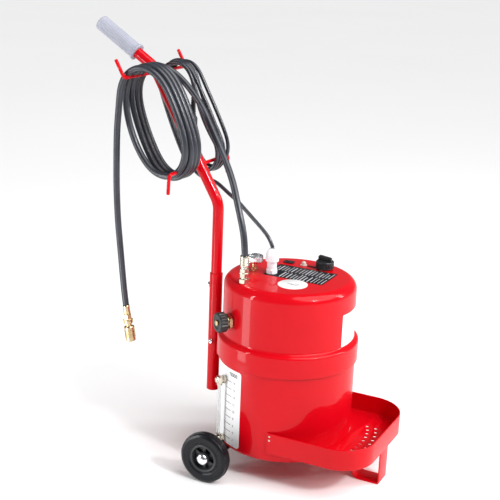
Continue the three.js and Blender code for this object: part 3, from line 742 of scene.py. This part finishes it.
def wheels():
    out, inn = WHEEL_OUT, WHEEL_IN
    half_tyre = [(33, 3), (36, 3.2, 1.5), (38.5, 1.2, 2), (50, 0, 6), (56.2, 3, 3), (57.2, 7.5, 1.5),
                 (56.2, 8.2, 0.5), (56.2, 9.4, 0.5), (58, 10, 1.2), (58, 12.2, 1), (56.6, 12.8, 0.4)]
    tyre = rounded([(r, inn + z, *radius) for r, z, *radius in half_tyre] +
                   [(r, out - z, *radius) for r, z, *radius in reversed(half_tyre)] + [(33, inn + 3)], 5)
    stub = rounded([(0, 166), (9, 166, 0.8), (9, 174.2), (6, 174.2), (6, 178.8), (9.5, 178.8, 0.6),
                    (9.5, inn - 0.5), (6, inn - 0.5), (6, out + 3), (0, out + 3)], 3)
    cap = rounded([(6.3, out - 0.3), (13.5, out - 0.3, 0.4), (13.3, out + 2.2, 1.6), (11.5, out + 5.0, 4),
                   (7, out + 8.3, 6), (0, out + 9.5)], 6)
    for side, turn in (("left", -pi / 2), ("right", pi / 2)):
        at = shift(0, WHEEL_Y, WHEEL_R) @ spun(turn, "Y")
        body = f"wheel_{side}"
        turned(f"tyre_{side}_solid", tyre, TYRE, 144, body=body, replaces=[f"tyre_{side}"], at=at)
        bm = bmesh.new()
        hub_piece(bm)
        finished(f"hub_{side}", bm, HUB, body, [f"wheel_hub_{side}"], at=at)
        owner = body_of(frame["nodes"][f"axle_cap_{side}"])
        owner = owner if isinstance(owner, str) else owner[0]
        turned(f"cap_nut_{side}", cap, CHROME, 64, body=owner, replaces=[f"axle_cap_{side}"], at=at)
        turned(f"axle_stub_{side}", stub, NICKEL, 48, body="frame", replaces=[f"stub_axle_{side}"], at=at)


axle()
wheels()


# ---- handle
def handle():
    bm = bmesh.new()
    path = bent(HANDLE_CORNERS, [60, 60], 3)
    sweep(bm, path, circle(TUBE_R, 40), inner=circle(TUBE_R - 1.8, 40))
    finished("handle_pipe", bm, RED, replaces=["handle_tube"])
    turned("sleeve_pipe", rounded([(TUBE_R + 0.4, SLEEVE_LOW + 1), (TUBE_R + 0.9, SLEEVE_LOW),
                                   (SLEEVE_R, SLEEVE_LOW, 0.8), (SLEEVE_R, SLEEVE_HIGH, 0.8),
                                   (TUBE_R + 0.9, SLEEVE_HIGH), (TUBE_R + 0.4, SLEEVE_HIGH - 1),
                                   (TUBE_R + 0.4, SLEEVE_LOW + 1)], 4), RED, 64, replaces=["handle_sleeve"],
           at=shift(0, SLEEVE_Y))
    for name, low, high in (("lower", 136, 166), ("upper", 218, 248)):
        bm = bmesh.new()
        block(bm, (22, 18.2, high - low), shift(0, 165.5, (low + high) / 2), 1.4, 3)
        for side in (-1, 1):
            for x, y, radius in ((11.4, 157, 1.7), (10.6, 176.6, 1.5)):
                weld = [(side * x, y, low + 2), (side * x, y, high - 2)]
                sweep(bm, weld, circle(radius, 12), end_scale=0.5)
        finished(f"bracket_{name}", bm, RED, replaces=[f"sleeve_bracket_{name}"])

    def socket_head(angle, r, z):
        return hexagon(2.0, angle) if 0.1 < r <= 2.31 else r

    base = SLEEVE_R + 0.3
    bolt = [(0, TUBE_R + 0.6), (3, TUBE_R + 0.6), (3, base), (6.2, base)]
    bolt += rounded([(6.2, base), (6.2, base + 3.0, 1.2), (4.6, base + 5.6, 2.2), (3.4, base + 6.2)], 5)[1:]
    bolt += [(2.3, base + 6.0), (2.3, base + 3.2), (0, base + 3.2)]
    for name, z, direction in (("upper", 386, (0, 1, 0)), ("lower", 252, (-1, 0, 0))):
        bm = bmesh.new()
        revolve(bm, bolt, shift(0, SLEEVE_Y, z) @ turned_to(direction), 48, socket_head)
        finished(f"bolt_{name}", bm, CHROME, replaces=[f"clamp_bolt_{name}"])

    def uneven(angle, r, z):
        return r * (1 + 0.03 * sin(9 * angle))

    inner_x = sqrt(TUBE_R ** 2 - BAR_R ** 2) - 0.6
    bead = rounded([(BAR_R - 0.2, inner_x), (BAR_R + 1.9, inner_x + 0.2, 1), (BAR_R + 1.2, inner_x + 2.0, 1),
                    (BAR_R - 0.2, inner_x + 2.8)], 3)
    for name, u, half, tip in (("upper", BAR_U, 134, (22, 38.1)), ("lower", -BAR_U, 138, (2, -44))):
        _, y, z = on_run(0, u, 0)
        corners = [(-half, y + tip[0], z + tip[1]), (-half, y, z), (half, y, z),
                   (half, y + tip[0], z + tip[1])]
        bm = bmesh.new()
        sweep(bm, bent(corners, [9, 9], 8), circle(BAR_R, 24), end_scale=0.72)
        finished(f"{name}_hook", bm, RED, replaces=[f"{name}_hook_bar"])
        # A weld bead where the bar goes through the pipe.
        for side in (-1, 1):
            bm = bmesh.new()
            revolve(bm, bead, shift(0, y, z) @ turned_to((side, 0, 0)), 40, uneven)
            finished(f"{name}_hook_weld_{'right' if side > 0 else 'left'}", bm, RED)


def grip():
    axis = (Vector(HANDLE_CORNERS[3]) - Vector(HANDLE_CORNERS[2])).normalized()
    length = 118
    base = Vector(HANDLE_CORNERS[3]) + axis * (4.6 - length)
    at = Matrix.Translation(base) @ turned_to(axis)
    ribs = 22

    def fluted(angle, r, z):
        if r < 16.5 or z < 9 or z > length - 7:
            return r
        ease = min(1.0, (z - 9) / 5, (length - 7 - z) / 5)
        return r - 0.55 * ease * (0.5 - 0.5 * cos(ribs * angle)) ** 3

    profile = rounded([(13.0, 0), (20.5, 0, 1.6), (20.5, 5, 1.8), (17.8, 6.5, 1.0), (17.8, 9)], 5)
    profile += [(17.8, 9 + (length - 16) * i / 30) for i in range(1, 31)]
    profile += rounded([(17.8, length - 7), (17.6, length, 4.5), (6, length, 2), (0, length - 0.6)], 6)[1:]
    bm = bmesh.new()
    revolve(bm, profile, at, ribs * 12, shape=fluted)
    finished("grip_sleeve", bm, VINYL, replaces=["grip"])


handle()
grip()


# ---- fittings on the cover's top
def on_top(place):
    return shift(*place, COVER_TOP + 0.3)


def ribbed(count, depth, least_r, low, high):
    """A shape for revolve: grooves on the points beyond a radius and between two heights."""
    def shape(angle, r, z):
        if r > least_r and low < z < high:
            return r - depth * (0.5 - 0.5 * cos(count * angle)) ** 2
        return r
    return shape


def outlet():
    bm = bmesh.new()
    nut(bm, 21, 0, 9.5)
    revolve(bm, rounded([(0, -13.9), (6, -13.9, 0.5), (6, 0)], 2), count=32)
    finished("outlet_hex", bm, NICKEL, replaces=["outlet_nut"], at=on_top(OUTLET), slot="chrome_plate")
    bm = bmesh.new()
    revolve(bm, rounded([(5, 9.6), (7.6, 9.6, 0.4), (7.6, 12.4, 0.4), (6.6, 12.8)], 3), count=40)
    nut(bm, 18.5, 12.6, 33)
    revolve(bm, rounded([(5, 32.5), (8, 32.5), (8, 38, 0.8), (5, 38), (5, 60)], 3), count=40)
    revolve(bm, rounded([(8.6, 20.5), (10.9, 21.2, 0.6), (10.9, 23.6, 0.6), (8.6, 24.4)], 3), count=48)
    finished("hose_tail", bm, NICKEL, replaces=["hose_barb"], at=on_top(OUTLET), slot="brass_metal")
    crimp = [(8.0, 38.3), (10.0, 38.3), (10.5, 39.2)]
    for i in range(5):
        z = 41 + 3.6 * i
        crimp += [(10.5, z), (9.8, z + 0.8), (9.8, z + 1.4), (10.5, z + 2.2)]
    crimp += [(10.5, 60.6), (10.0, 61.5), (7.6, 61.5), (7.6, 50), (8.0, 38.3)]
    return turned("crimp_ferrule", crimp, NICKEL, 56, replaces=["hose_ferrule"], at=on_top(OUTLET))


def gland():
    bm = bmesh.new()
    nut(bm, 24, 0, 10)
    revolve(bm, rounded([(0, -13.9), (8, -13.9), (8, 0)], 2), count=32)
    revolve(bm, rounded([(11, 9.8), (11, 28, 0.4), (8, 28)], 2), count=48)
    finished("gland_base", bm, NYLON, replaces=["gland_body"], at=on_top(GLAND))
    profile = rounded([(9, 28.3), (15, 28.3, 0.8), (15, 30)], 3) + [(15, 30 + 1.2 * i) for i in range(1, 10)]
    profile += rounded([(15, 41), (15, 43, 2), (12.4, 51.5, 4), (7.6, 57.4, 1.2), (4.7, 57.9), (4.7, 50)],
                       6)[1:]
    turned("gland_cap", profile, NYLON, shape=ribbed(16, 0.5, 14.4, 29.5, 41), replaces=["gland_nut"],
           at=on_top(GLAND))


def gauge():
    bm = bmesh.new()
    nut(bm, 14, 0, 8)
    revolve(bm, rounded([(0, -13.9), (5, -13.9), (5, 21.7), (0, 21.7)], 2), count=32)
    finished("gauge_post", bm, BRASS, replaces=["gauge_stem"], at=on_top(GAUGE))
    profile = rounded([(0, 21.8), (16.5, 21.8, 2), (19.4, 24.6, 1)], 4)
    profile += [(19.4, 25.6), (19.9, 26.2)] + [(19.9, 26.2 + 0.9 * i) for i in range(1, 10)]
    profile += rounded([(19.9, 34.4), (20, 36.9, 1.0), (17.7, 36.9, 0.8), (17.4, 34.2)], 4)[1:]
    profile += [(17.4, 25.9), (0, 25.9)]
    turned("gauge_can", profile, CHROME, 240, shape=ribbed(60, 0.45, 19.7, 26.1, 34.5),
           replaces=["gauge_case"], at=on_top(GAUGE))
    turned("gauge_face", [(0, 26.1), (17.2, 26.1), (17.2, 27.1), (0, 27.1)], DIAL, 64,
           replaces=["gauge_dial"], at=on_top(GAUGE))
    bm = bmesh.new()
    start, sweep_, ticks, major = 225, 270, 40, 5
    for i in range(ticks + 1):
        angle = radians(start - sweep_ * i / ticks)
        long_, wide = (3.2, 0.42) if i % major == 0 else (1.7, 0.22)
        block(bm, (long_, wide, 0.10), spun(angle, "Z") @ shift(15.9 - long_ / 2, 0, 27.15), 0.02, 1)
    for i in range(ticks // major + 1):
        angle = radians(start - sweep_ * i / (ticks // major))
        centre = polar(10.4, angle, 27.15)
        number(bm, str(i), 3.2, lambda p, c=centre: p + c)
    finished("gauge_print", bm, PRINT_DARK, at=on_top(GAUGE), weld=False)
    bm = bmesh.new()
    at = on_top(GAUGE) @ spun(radians(135), "Z")
    revolve(bm, rounded([(0, 27.4), (2.4, 27.4), (2.4, 29.8, 0.5), (0, 29.8)], 3), count=32)
    pointer = [(0.95, -5), (0.75, 0), (0.25, 13), (-0.25, 13), (-0.75, 0), (-0.95, -5)]
    flat_piece(bm, pointer, 28.2, 28.8)
    finished("gauge_pointer", bm, PLASTIC, "needle", ["gauge_needle"], at=at)
    turned("gauge_glass", rounded([(0, 32), (17.2, 32), (17.2, 33.2), (16, 33.6, 2), (0, 34)], 4), GLASS, 64,
           replaces=["gauge_lens"], at=on_top(GAUGE))


def filler():
    thread = [(15, 1.5)] + [p for i in range(3) for p in ((15, 3.5 + 3 * i), (14.5, 4.3 + 3 * i),
                                                          (15, 5.1 + 3 * i))]
    turned("neck_pipe", [(12, -170.9), (15, -170.9)] + thread +
           [(15, 12.4), (14.5, 13), (12.4, 13), (12, 12.5), (12, -170.9)], NICKEL, 64,
           replaces=["filler_neck"], at=on_top(FILLER))
    turned("neck_gasket", rounded([(0, 13.4), (14.8, 13.4, 0.3), (14.8, 15.6, 0.3), (0, 15.6)], 2), GASKET,
           48, body="cap_lift", replaces=["filler_seal"], at=on_top(FILLER))
    bm = bmesh.new()
    profile = rounded([(15.6, 2), (20.2, 2, 0.8), (20.9, 4.5, 1.0)], 4)
    profile += [(20.9, 5 + 1.0 * i) for i in range(11)]
    profile += rounded([(20.9, 15.5), (20.6, 19.5, 2.2), (8, 19.9, 1), (0, 19.6)], 6)[1:]
    revolve(bm, profile + [(0, 16), (15.6, 16), (15.6, 2)], count=240, shape=ribbed(30, 0.9, 20.7, 4.9, 15.1))
    blade = bmesh.new()
    flat_piece(blade, rounded([(-16, 0), (-16, 9.0, 3.4), (16, 12.6, 3.8), (16, 0)], 8), -3.5, 3.5)
    blade.transform(shift(z=19.3) @ spun(pi / 2, "Z") @ spun(pi / 2, "X"))
    blade_mesh = bpy.data.meshes.new("blade")
    blade.to_mesh(blade_mesh)
    blade.free()
    bm.from_mesh(blade_mesh)
    bpy.data.meshes.remove(blade_mesh)
    finished("wing_cap", bm, PLASTIC, "cap", ["filler_cap"], at=on_top(FILLER))


def switch_and_lamp():
    bm = bmesh.new()
    hole = rectangle(-4.6, 4.6, -8.6, 8.6, 0.8, 3)
    flat_piece(bm, rectangle(-8, 8, -12, 12, 2.2, 6), 0, 2.6, [hole])
    flat_piece(bm, rectangle(-5.6, 5.6, -9.6, 9.6, 0.8, 3), -17.9, 0.4, [hole])
    finished("rocker_frame", bm, PLASTIC, replaces=["switch_bezel"], at=on_top(SWITCH))
    bm = bmesh.new()
    revolve(bm, rounded([(0, -4), (7.6, -4, 0.5), (7.6, 4, 0.5), (0, 4)], 3),
            shift(0, 0, 4.3) @ Matrix.Diagonal((1, 1, 0.6, 1)) @ spun(pi / 2, "Y"), 56)
    revolve(bm, [(0, -4), (3, -4), (3, 4), (0, 4)], spun(pi / 2, "Y"), 24)
    finished("rocker_key", bm, PLASTIC, "rocker", ["switch_rocker"],
             at=on_top(SWITCH) @ shift(z=-4.5) @ spun(radians(8), "X"))
    turned("lamp_cap", rounded([(0, -13.9), (4, -13.9), (4, 0), (7.5, 0, 0.3), (7.5, 2, 0.8), (5.6, 3, 0.6),
                                (5.1, 7, 2), (2.6, 9.6, 2), (0, 10)], 4), LAMP_LENS, 48,
           replaces=["pilot_lamp"], at=on_top(LAMP))
    flat("lamp_label", rectangle(-4, 4, -24, -3, 1.5, 3), -0.25, 0.25, DECAL_DARK,
         at=on_top(LAMP) @ shift(1, -6, 0))


ferrule = outlet()
gland()
gauge()
filler()
switch_and_lamp()


# ---- decals
def top_decals():
    flat("instruction_plate", rectangle(-28, 64, -88, 57, 3), COVER_TOP - 0.05, COVER_TOP + 0.35, DECAL_DARK)
    picker = random.Random(4)
    bm = bmesh.new()
    for start, end, first, last in ((20, 60, -83, 52), (-24, 15, -83, 20)):
        y = first
        while y < last:
            long_ = (end - start) * picker.choice((1.0, 0.96, 0.9, 0.72))
            block(bm, (long_, picker.choice((1.3, 1.7, 2.6)), 0.16),
                  shift(start + long_ / 2, y, COVER_TOP + 0.38), 0.03, 1)
            y += picker.choice((7.6, 8.4, 9.6))
    finished("instruction_rows", bm, PRINT_PALE, weld=False)
    flat("oval_badge", ellipse(-58, -31, 34, 33, 96), COVER_TOP - 0.05, COVER_TOP + 0.5, DECAL)
    bm = bmesh.new()
    for x, y, w, h in ((-58, -26, 1.6, 16), (-62, -38, 1.6, 22), (-54, -40, 1.6, 12)):
        block(bm, (w, h, 0.16), shift(x, y, COVER_TOP + 0.55), 0.03, 1)
    finished("badge_bars", bm, PRINT_DARK, weld=False)


def side_decals():
    bm = bmesh.new()
    patch(bm, COVER_R + 0.02, 0.35, radians(256), radians(292), 312.5, 388, 1.5)
    finished("cover_label", bm, DECAL, sharp=40)
    bm = bmesh.new()
    patch(bm, COVER_R + 0.38, 0.08, radians(263.5), radians(265), 376.5, 380.5)
    finished("cover_label_dot", bm, PRINT_DARK)
    bm = bmesh.new()
    patch(bm, COVER_R + 0.38, 0.08, radians(268), radians(284), 359, 360.6)
    patch(bm, COVER_R + 0.38, 0.08, radians(268), radians(278), 354, 355.2)
    finished("cover_label_bars", bm, PRINT_RED, weld=False)
    bm = bmesh.new()
    patch(bm, TANK_R + 0.02, 0.3, radians(125), radians(165), 66, 250, 7, 64)
    finished("level_scale", bm, DECAL, sharp=40)
    bm = bmesh.new()
    low, pitch, radius = 82, 17.2, TANK_R + 0.34
    for i in range(46):
        z = low + pitch * i / 5
        if z > 228:
            break
        start, end, half = (145.0, 154.0, 0.65) if i % 5 == 0 else (145.0, 147.6, 0.3)
        patch(bm, radius, 0.06, radians(start), radians(end), z - half, z + half, columns=6)
        if i % 5 == 0:
            turn = radians(157.2)

            def wrapped(p, z=z, turn=turn):
                angle = turn + p.x / radius
                r = radius + 0.05 + p.z
                return polar(r, angle, z + p.y)

            number(bm, str(2 * (i // 5) + 2), 8.5, wrapped)
    for i in range(3):
        patch(bm, radius, 0.06, radians(150.5 + 0.8 * i), radians(161), 240.5 - 3.0 * i, 242.3 - 3.0 * i,
              columns=6)
    finished("level_print", bm, PRINT_DARK, weld=False)


top_decals()
side_decals()


# ---- regulator and level gauge
def regulator():
    at = Matrix.Translation(polar(COVER_R, FITTING_TURN, 356)) @ turned_to(polar(1, FITTING_TURN))
    bm = bmesh.new()
    nut(bm, 33, 0.6, 9, count=96)
    revolve(bm, rounded([(12.6, 8.6), (14, 8.6), (14, 10.5, 1), (12, 11.2, 0.6), (12, 13, 0.6), (4.2, 13),
                         (4.2, 29.5), (0, 29.5)], 3), count=64)
    revolve(bm, [(0, -22), (8, -22), (8, 1)], count=32)
    finished("regulator_stem", bm, BRASS, replaces=["regulator_body"], at=at)
    lobes = 16

    def lobed(angle, r, z):
        if r < 17:
            return r
        return r - 2.1 * (0.5 - 0.5 * cos(lobes * angle)) ** 1.5

    profile = rounded([(4.6, 13.3), (20.5, 13.3, 1.5), (22.9, 16, 2)], 4)
    profile += [(22.9, 17 + 1.2 * i) for i in range(11)]
    profile += rounded([(22.9, 30), (21.2, 33, 2.0), (14, 33.0, 1), (12.5, 31.6, 1), (8, 31.6, 0.6),
                        (7.6, 30.5), (4.6, 30.5), (4.6, 13.3)], 5)[1:]
    turned("regulator_grip", profile, PLASTIC, lobes * 12, shape=lobed, body="regulator",
           replaces=["regulator_knob"], at=at)
    turned("regulator_centre", rounded([(0, 30.8), (6.5, 30.8), (6.5, 34.6, 0.8), (4.6, 36, 1.0), (0, 35.6)],
                                       4), BRASS, 40, body="regulator", replaces=["knob_insert"], at=at)


def sight_glass():
    out = TANK_R + 15
    for name, z, up in (("low", 74, 1), ("high", 219, -1)):
        at = shift(z=z) @ spun(FITTING_TURN, "Z")
        sideways = spun(pi / 2, "Y")
        bm = bmesh.new()
        revolve(bm, rounded([(0, TANK_R + 0.6), (7, TANK_R + 0.6), (7, out), (0, out)], 3), sideways, 40)
        nut(bm, 17.3, TANK_R + 2.6, TANK_R + 8.0, sideways)
        revolve(bm, rounded([(0, -8.2), (7.5, -8.2, 1.6), (7.5, 8.2, 1.6), (0, 8.2)], 5), shift(out), 40)
        revolve(bm, rounded([(0, -2), (6.2, -2, 0.8), (6.2, 9.4, 1.6), (0, 10.2)], 4), shift(out) @ sideways,
                36)
        upright = shift(out) if up > 0 else shift(out) @ spun(pi, "X")
        nut(bm, 10.6, 8.4, 13.2, upright, 48)
        finished(f"sight_elbow_{name}", bm, NICKEL, replaces=[f"sight_fitting_{name}"], at=at)
    at = Matrix.Translation(polar(out, FITTING_TURN))
    bm = bmesh.new()
    revolve(bm, [(2.6, 87.3), (4.2, 87.3), (4.2, 205.7), (2.6, 205.7), (2.6, 87.3)], at, 40)
    finished("sight_pipe", bm, TUBE, replaces=["sight_tube"])


regulator()
sight_glass()


# ---- coupler and plug
def coupler():
    at = shift(-120, 361.4, 340) @ spun(radians(-10), "X")
    bm = bmesh.new()
    revolve(bm, rounded([(7.5, -0.6), (8, -0.6, 0.2), (8.6, -3, 0.4), (8.6, -20, 0.4), (7.6, -22.2),
                         (6, -22.2)], 3), count=48)
    nut(bm, 17, -34, -22)
    revolve(bm, rounded([(6, -34), (11.5, -34, 0.8), (11.5, -43, 1.2), (7.5, -44), (7.5, -86.6, 0.6),
                         (6.2, -88), (4.4, -88), (4.4, -70), (0, -70)], 3), count=56)
    body = finished("coupler_core", bm, BRASS, replaces=["coupler_body"], at=at)
    profile = rounded([(7.9, -51), (11.6, -51, 0.6), (12.5, -53, 0.8), (12.5, -57)], 4)
    for i in range(6):
        z = -58.4 - 3.0 * i
        profile += [(12.5, z), (11.8, z - 0.5), (11.8, z - 1.3), (12.5, z - 1.8)]
    profile += rounded([(12.5, -78), (12.5, -84, 1.2), (11.2, -86, 0.8), (7.9, -86), (7.9, -51)], 4)
    sleeve = turned("coupler_collar", profile, BRASS, 64, body="coupler_lock", replaces=["coupler_sleeve"],
                    at=at)
    return body, sleeve


def lead_plug():
    at = shift(PLUG_X, PLUG_Y, PLUG_TOP) @ spun(pi, "X")
    profile = [(4.5, 0.0), (5.0, 0.6)]
    for i in range(7):
        z = 2 + 5.2 * i
        r = 5.4 + 0.22 * i
        profile += [(r, z), (r, z + 3.0), (r - 0.8, z + 3.4), (r - 0.8, z + 4.8)]
    profile += rounded([(6.9, 38.6), (7.4, 44, 4), (11, 50, 4), (11, 66, 1.5), (10.2, 69, 1), (0, 69)], 5)
    body = turned("plug_body", profile, PLASTIC, 56, replaces=["cable_plug"], at=at)
    bm = bmesh.new()
    for side in (-1, 1):
        revolve(bm, rounded([(0, 68), (2.3, 68), (2.3, 86.6, 1.6), (0, 88)], 5), shift(7.6 * side), 28)
    pins = finished("plug_pins", bm, NICKEL, at=at)
    return body, pins


coupler_body, coupler_sleeve = coupler()
plug_body, plug_pins = lead_plug()

# ---- CAD nodes that stay
HIDDEN = {"tank_deck": DECK, "cover_seal": GASKET, "pump_motor": MOTOR, "pump_head": CASTING,
          "suction_pipe": NICKEL}
for node, material in HIDDEN.items():
    for entry in frame["nodes"][node].material_slots:
        entry.material = material


# ---- floor and light
def studio():
    bpy.ops.mesh.primitive_circle_add(vertices=96, radius=60, fill_type="NGON", location=(0, 0, 0))
    floor = bpy.context.object
    floor.name = "floor"
    floor.data.materials.append(surface("floor_pale", (0.93, 0.93, 0.93), (0.91, 0.91, 0.915), patch=0.6,
                                        rough=0.55))
    world = bpy.data.worlds.new("studio")
    bpy.context.scene.world = world
    world.use_nodes = True
    background = world.node_tree.nodes["Background"]
    background.inputs["Color"].default_value = (1.0, 1.0, 1.0, 1)
    background.inputs["Strength"].default_value = 0.24
    for name, place, target, width, height, power in (
            ("tall_left", (-2.0, 1.6, 0.9), (0, 0, 0.35), 0.16, 2.0, 26),
            ("key_front", (-1.0, -3.2, 2.8), (0, 0, 0.4), 0.5, 0.30, 75),
            ("low_left", (-0.52, 0.41, 0.18), (0, -0.13, 0.18), 0.20, 0.32, 1.1),
            ("right_front", (1.6, -2.6, 1.6), (0, 0, 0.4), 0.5, 1.4, 34)):
        data = bpy.data.lights.new(name, "AREA")
        data.shape, data.size, data.size_y, data.energy = "RECTANGLE", width, height, power
        light = linked(name, data)
        light.location = place
        light.visible_camera = False
        light.rotation_euler = (Vector(target) - Vector(place)).to_track_quat("-Z", "Y").to_euler()
    data = bpy.data.lights.new("soft_sun", "SUN")
    data.energy, data.angle = 3.1, radians(60)
    light = linked("soft_sun", data)
    light.rotation_euler = Vector((-0.05, 0.7, -1.0)).to_track_quat("-Z", "Y").to_euler()


studio()

bpy.context.scene.view_settings.view_transform = "Standard"
